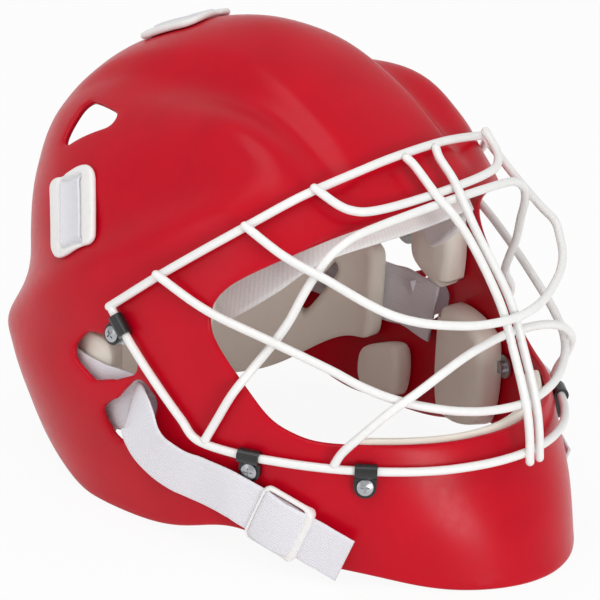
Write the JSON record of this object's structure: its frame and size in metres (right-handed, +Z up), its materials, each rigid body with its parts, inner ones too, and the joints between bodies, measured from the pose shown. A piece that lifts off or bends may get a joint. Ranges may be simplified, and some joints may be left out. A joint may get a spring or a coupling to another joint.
{
  "type": "field_hockey_goalkeeper_helmet",
  "caption": "Field hockey goalkeeper helmet: moulded full shell with welded wire face cage, foam liner pads, nape webbing with sliders and strap plates",
  "frame": {"origin": "Middle of the head opening, on the plane that the chin and the ear lobes stand on", "axes": "+X to the wearer's left, -Y toward the face, +Y toward the nape, +Z up"},
  "size_m": [0.2602, 0.3471, 0.256],
  "materials": {
    "shell_red": "satin red moulded shell with a fine speckle",
    "wire_white": "white coated steel wire",
    "clip_black": "black dipped steel strip",
    "zinc_steel": "zinc plated",
    "foam_cream": "cream covered foam",
    "towel_white": "white towelling",
    "webbing_white": "woven white webbing",
    "plastic_white": "moulded white plastic"
  },
  "bodies": {
    "helmet": {"shell": "shell_red", "rim_wire": "wire_white", "jaw_wire": "wire_white", "brow_wire": "wire_white", "eye_wire": "wire_white", "upper_wire": "wire_white", "lower_wire": "wire_white", "chin_wire": "wire_white", "centre_wire_right": "wire_white", "centre_wire_left": "wire_white", "cage_clips": "clip_black", "clip_screws": "zinc_steel", "tee_nuts": "zinc_steel", "brow_pad": "foam_cream", "sweatband": "towel_white", "crown_pad": "foam_cream", "temple_pad_right": "foam_cream", "temple_pad_left": "foam_cream", "cheek_pad_right": "foam_cream", "cheek_pad_left": "foam_cream", "ear_pad_right": "foam_cream", "ear_pad_left": "foam_cream", "nape_cradle": "foam_cream", "liner_pad_right": "foam_cream", "liner_pad_left": "foam_cream", "chin_pad": "foam_cream", "nape_band": "webbing_white", "strap_tail_right": "webbing_white", "strap_tail_left": "webbing_white", "strap_plate_right": "plastic_white", "strap_plate_left": "plastic_white", "strap_plate_top": "plastic_white", "plate_strap_right": "webbing_white", "plate_strap_left": "webbing_white", "plate_strap_top": "webbing_white"},
    "slider_right": {"slider_right": "plastic_white"},
    "slider_left": {"slider_left": "plastic_white"}
  },
  "joints": [
    {"name": "slider_right_slide", "type": "slide", "parent": "helmet", "child": "slider_right", "axis": [0.3598, -0.8612, -0.3589], "range_m": [-0.004, 0.014]},
    {"name": "slider_left_slide", "type": "slide", "parent": "helmet", "child": "slider_left", "axis": [-0.3598, -0.8612, -0.3589], "range_m": [-0.004, 0.014]}
  ]
}
